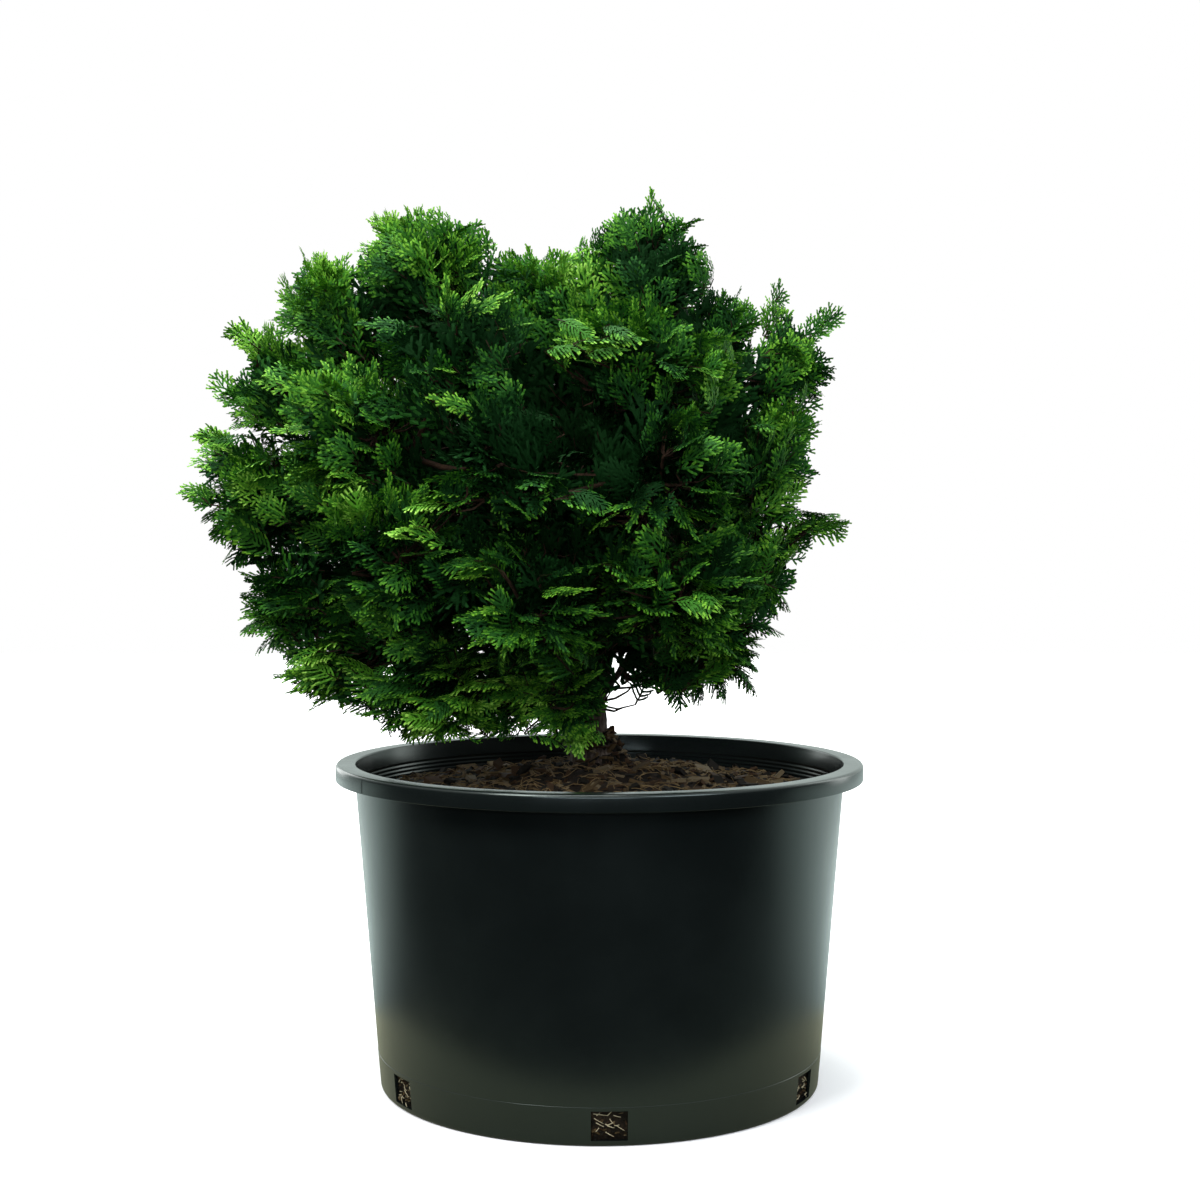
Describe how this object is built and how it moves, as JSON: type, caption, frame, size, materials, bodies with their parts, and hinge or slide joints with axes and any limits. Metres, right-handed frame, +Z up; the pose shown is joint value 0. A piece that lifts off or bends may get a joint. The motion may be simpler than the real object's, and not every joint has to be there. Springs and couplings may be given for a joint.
{
  "type": "potted dwarf hinoki cypress",
  "caption": "Dense dwarf conifer with cupped fan sprays on a short leaning trunk, growing in a round tapered black nursery pot with a turned-down rim and drain holes.",
  "frame": {"origin": "centre of the pot's flat underside", "axes": "+Z up, -Y towards the front shown in the picture, +X to its right"},
  "size_m": [0.562, 0.4759, 0.733],
  "materials": {
    "pot": "semi-gloss black moulded plastic",
    "potting_mix": "damp bark and fibre",
    "trunk_bark": "rough fibrous bark",
    "bough_bark": "reddish-brown bark",
    "foliage": "matt scale leaves"
  },
  "bodies": {
    "root": {"back_centre": "foliage", "back_high_left": "foliage", "back_high_right": "foliage", "back_left": "foliage", "back_low_centre": "foliage", "back_low_left": "foliage", "back_low_right": "foliage", "back_right": "foliage", "bough_back_high": "bough_bark", "bough_back_left": "bough_bark", "bough_back_low": "bough_bark", "bough_back_right": "bough_bark", "bough_front_high": "bough_bark", "bough_front_left": "bough_bark", "bough_front_low": "bough_bark", "bough_front_right": "bough_bark", "bough_left_low": "bough_bark", "bough_left_mid": "bough_bark", "bough_right_low": "bough_bark", "bough_right_mid": "bough_bark", "bough_saddle": "bough_bark", "bough_shoulder_left": "bough_bark", "bough_shoulder_right": "bough_bark", "bough_skirt_front": "bough_bark", "bough_skirt_right": "bough_bark", "bough_summit_left": "bough_bark", "front_centre": "foliage", "front_high_left": "foliage", "front_high_right": "foliage", "front_left": "foliage", "front_low_centre": "foliage", "front_low_left": "foliage", "front_low_right": "foliage", "front_right": "foliage", "horn_right": "foliage", "pot": "pot", "potting_mix": "potting_mix", "saddle": "foliage", "shoulder_left": "foliage", "shoulder_right": "foliage", "skirt_front": "foliage", "skirt_left": "foliage", "skirt_right": "foliage", "skirt_trunk": "foliage", "summit_left": "foliage", "summit_right": "foliage", "trunk": "trunk_bark", "wing_left_high": "foliage", "wing_left_low": "foliage", "wing_left_mid": "foliage", "wing_right_low": "foliage", "wing_right_mid": "foliage"}
  },
  "joints": []
}
